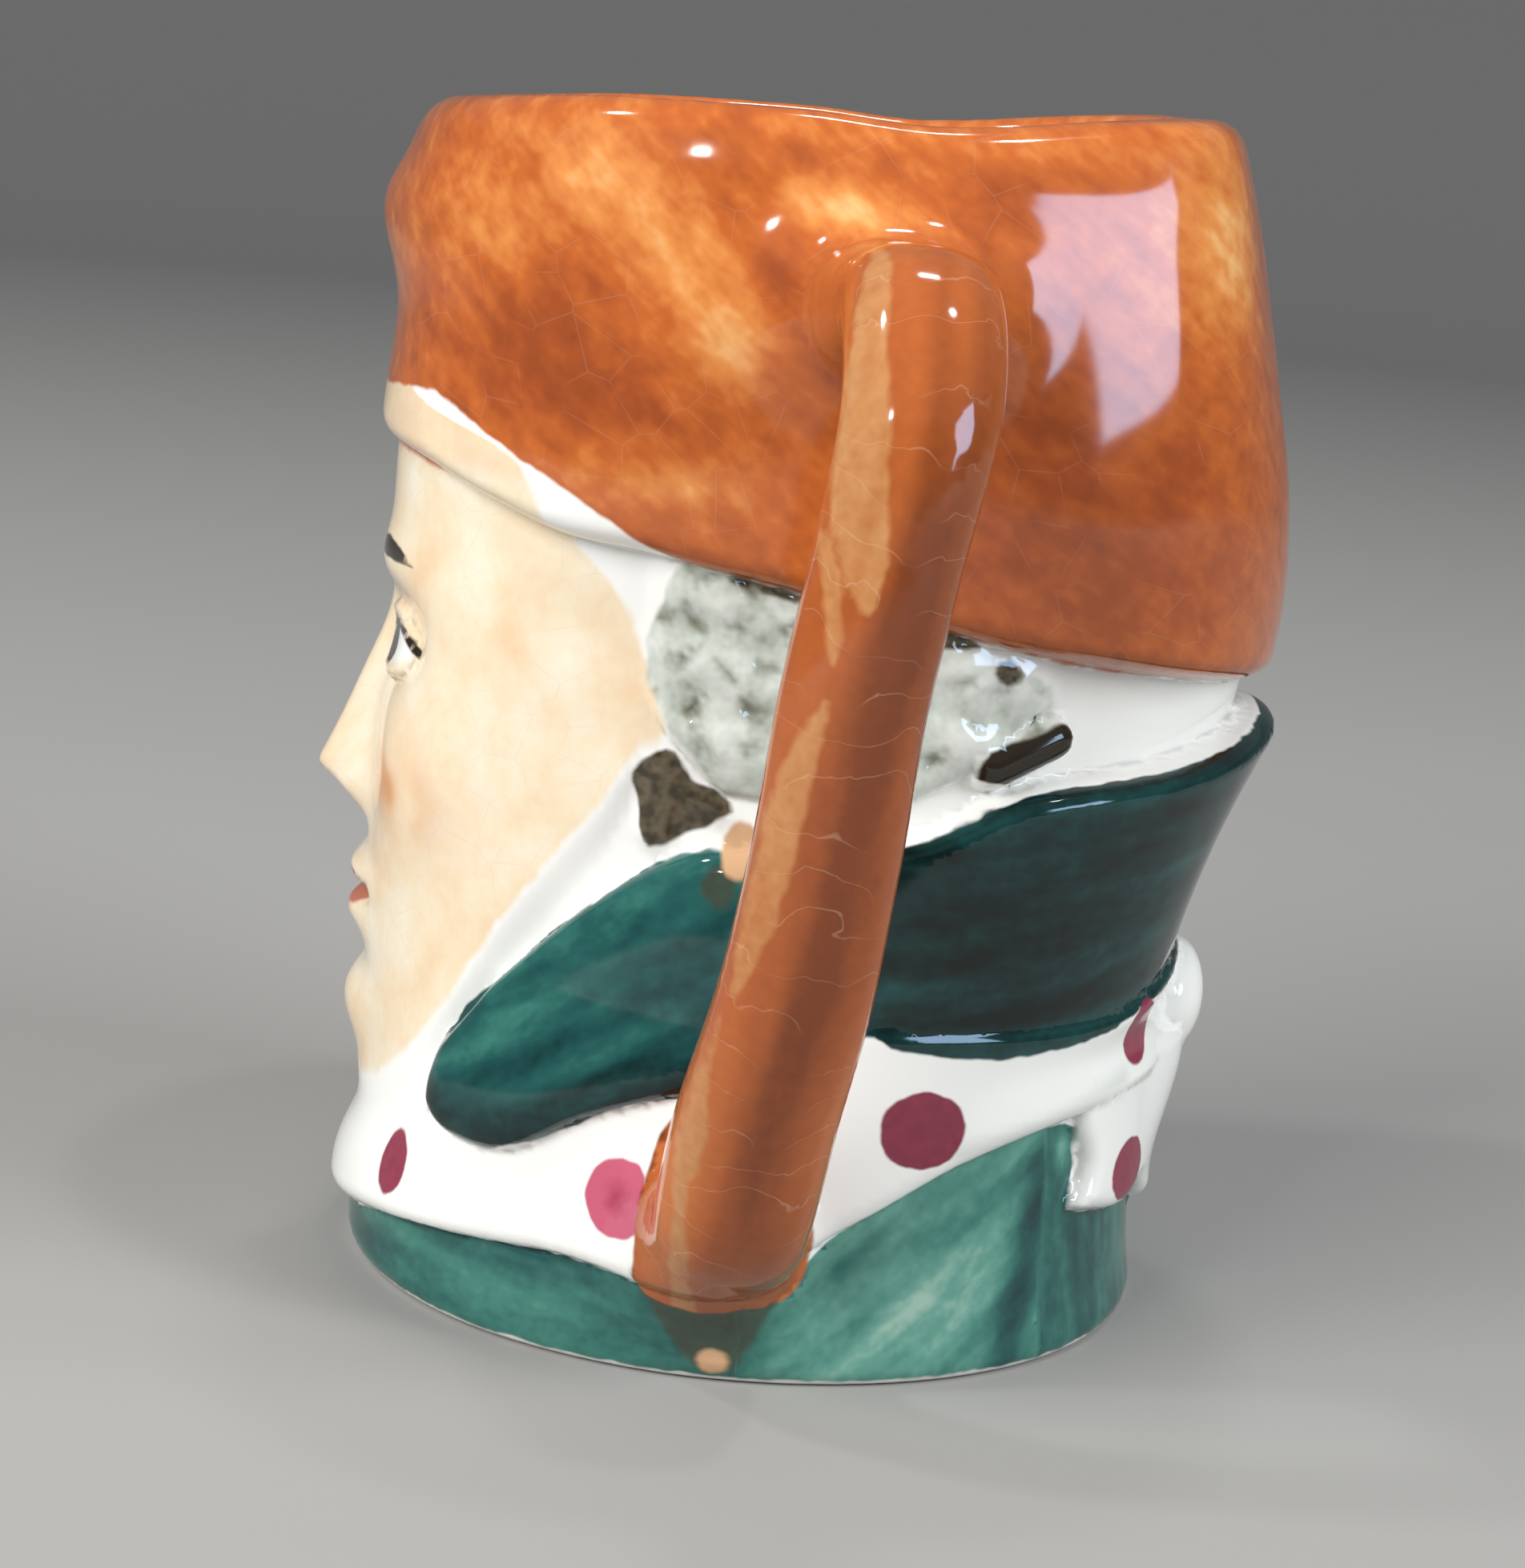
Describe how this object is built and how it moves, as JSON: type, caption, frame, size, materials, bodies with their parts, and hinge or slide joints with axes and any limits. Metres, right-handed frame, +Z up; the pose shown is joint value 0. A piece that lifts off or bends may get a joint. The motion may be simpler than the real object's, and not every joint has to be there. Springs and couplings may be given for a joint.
{
  "type": "toby jug",
  "caption": "Small glazed toby jug: a hollow character head in a cocked hat, turned-up coat collar and spotted neckerchief, with a strap handle at its side.",
  "frame": {"origin": "middle of the flat foot, on the body's vertical axis", "axes": "+Z up; the face looks along -X, the back of the head is towards +X, and the handle stands out along -Y"},
  "size_m": [0.0576, 0.0647, 0.0716],
  "materials": {
    "jug": "gloss"
  },
  "bodies": {
    "root": {"jug": "jug"}
  },
  "joints": []
}
